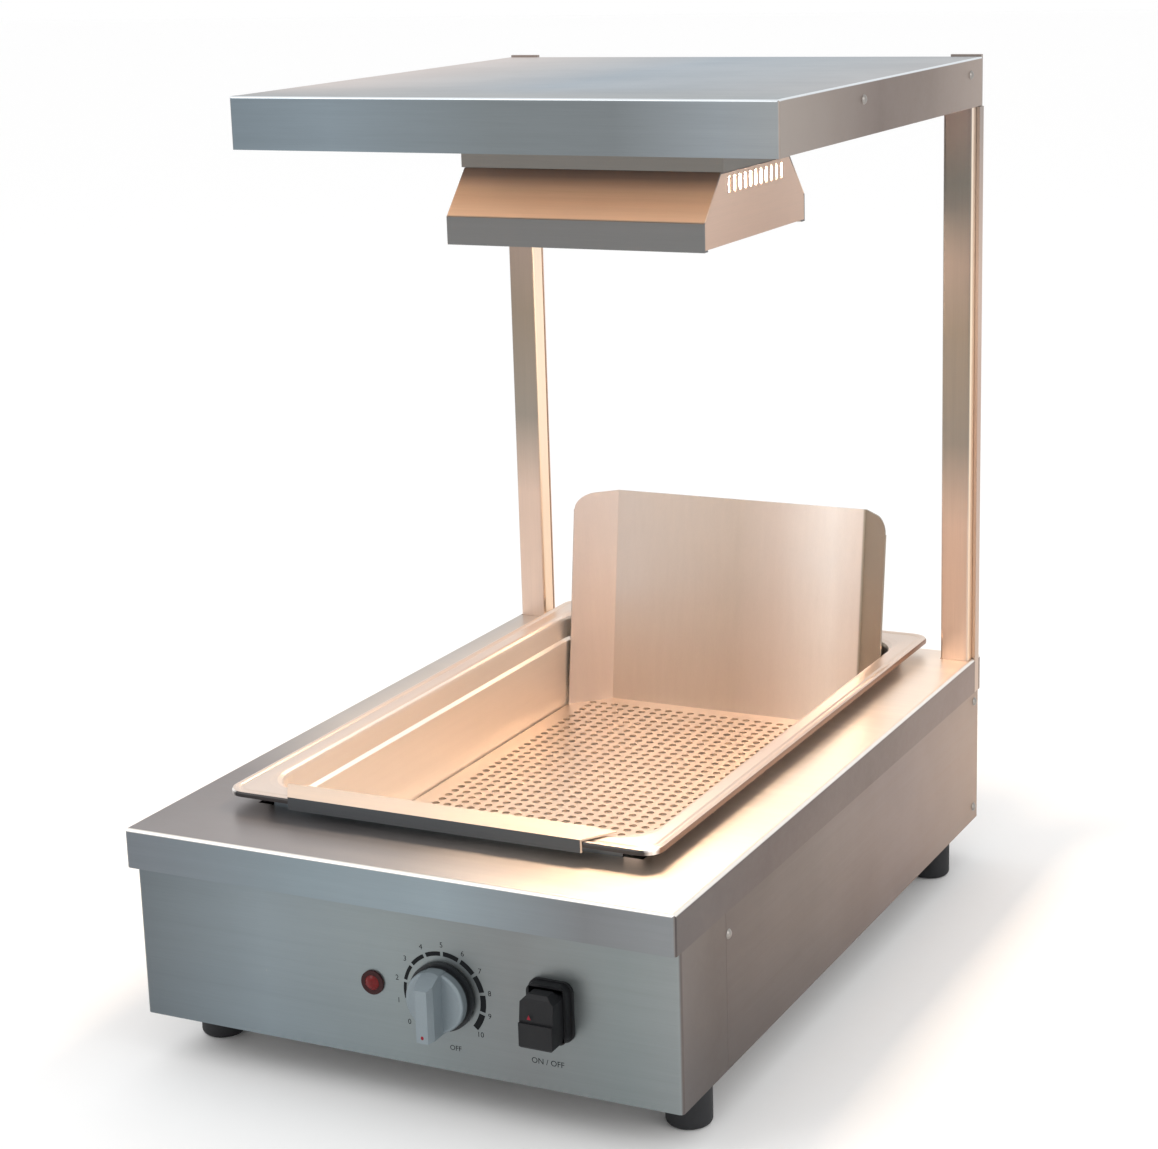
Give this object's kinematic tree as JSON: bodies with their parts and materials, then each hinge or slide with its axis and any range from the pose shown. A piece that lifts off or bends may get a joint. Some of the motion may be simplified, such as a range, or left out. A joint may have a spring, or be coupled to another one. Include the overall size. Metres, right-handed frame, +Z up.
{
  "type": "chip warmer",
  "caption": "Countertop chip warmer: a heated stainless base with a lift-out pan and perforated chip insert, under a lamp hood on a canopy with rear posts.",
  "frame": {"origin": "on the surface it stands on, under the middle of the whole object's bounding box", "axes": "+Z up, -Y towards the front with the controls, +X to the right as seen from the front"},
  "size_m": [0.4076, 0.637, 0.6435],
  "materials": {
    "brushed_steel_body": "satin brushed",
    "brushed_steel_pan": "satin, warm lit",
    "plain_steel": "plain",
    "bright_aluminium": "polished",
    "silver_plastic": "satin silver",
    "black_plastic": "satin",
    "red_lens": "clear dark red",
    "black_rubber": "matte",
    "white_ceramic": "unglazed",
    "quartz_glass": "clear"
  },
  "bodies": {
    "warmer_body": {"top_cover": "brushed_steel_body", "front_panel": "brushed_steel_body", "side_panel_left": "brushed_steel_body", "side_panel_right": "brushed_steel_body", "rear_panel": "brushed_steel_body", "base_tray": "plain_steel", "foot_front_left": "black_rubber", "foot_front_right": "black_rubber", "foot_rear_left": "black_rubber", "foot_rear_right": "black_rubber", "foot_screws": "plain_steel", "heater_well": "plain_steel", "base_element": "plain_steel", "element_saddles": "plain_steel", "energy_regulator": "black_plastic", "regulator_nut": "plain_steel", "indicator_housing": "black_plastic", "indicator_lens": "red_lens", "switch_housing": "black_plastic", "terminal_block": "white_ceramic", "cable_gland": "black_plastic", "gland_cap": "black_plastic", "gland_nut": "black_plastic", "post_left": "brushed_steel_body", "post_right": "brushed_steel_body", "post_cover_left": "brushed_steel_body", "post_cover_right": "brushed_steel_body", "post_bracket_left": "brushed_steel_body", "post_bracket_right": "brushed_steel_body", "canopy": "brushed_steel_body", "canopy_inner_panel": "brushed_steel_body", "heater_neck": "brushed_steel_body", "hood_shell": "brushed_steel_body", "hood_end_left": "brushed_steel_body", "hood_end_right": "brushed_steel_body", "reflector": "bright_aluminium", "heat_tube_front": "quartz_glass", "heat_tube_rear": "quartz_glass", "tube_ceramics": "white_ceramic", "tube_holder_left": "plain_steel", "tube_holder_right": "plain_steel", "lamp_guard": "plain_steel", "side_screws": "plain_steel", "canopy_screws": "plain_steel", "bracket_screws": "plain_steel", "rear_screws": "plain_steel", "neck_screws": "plain_steel", "hood_screws": "plain_steel"},
    "pan_body": {"pan": "brushed_steel_pan"},
    "insert_body": {"insert_floor": "brushed_steel_pan", "insert_hook": "brushed_steel_pan", "insert_legs": "brushed_steel_pan", "back_deflector": "brushed_steel_pan"},
    "knob_body": {"knob": "silver_plastic", "regulator_shaft": "plain_steel"},
    "rocker_body": {"rocker": "black_plastic"}
  },
  "joints": [
    {"name": "pan_lift", "type": "slide", "parent": "warmer_body", "child": "pan_body", "axis": [0, 0, 1], "range_m": [0, 0.12]},
    {"name": "insert_lift", "type": "slide", "parent": "pan_body", "child": "insert_body", "axis": [0, 0, 1], "range_m": [0, 0.15]},
    {"name": "knob_turn", "type": "hinge", "parent": "warmer_body", "child": "knob_body", "pos_m": [0.0337, -0.29905, 0.086], "axis": [0, 1, 0], "range_deg": [0, 311]},
    {"name": "rocker_tilt", "type": "hinge", "parent": "warmer_body", "child": "rocker_body", "pos_m": [0.1125, -0.29555, 0.09], "axis": [1, 0, 0], "range_deg": [0, 8]}
  ]
}
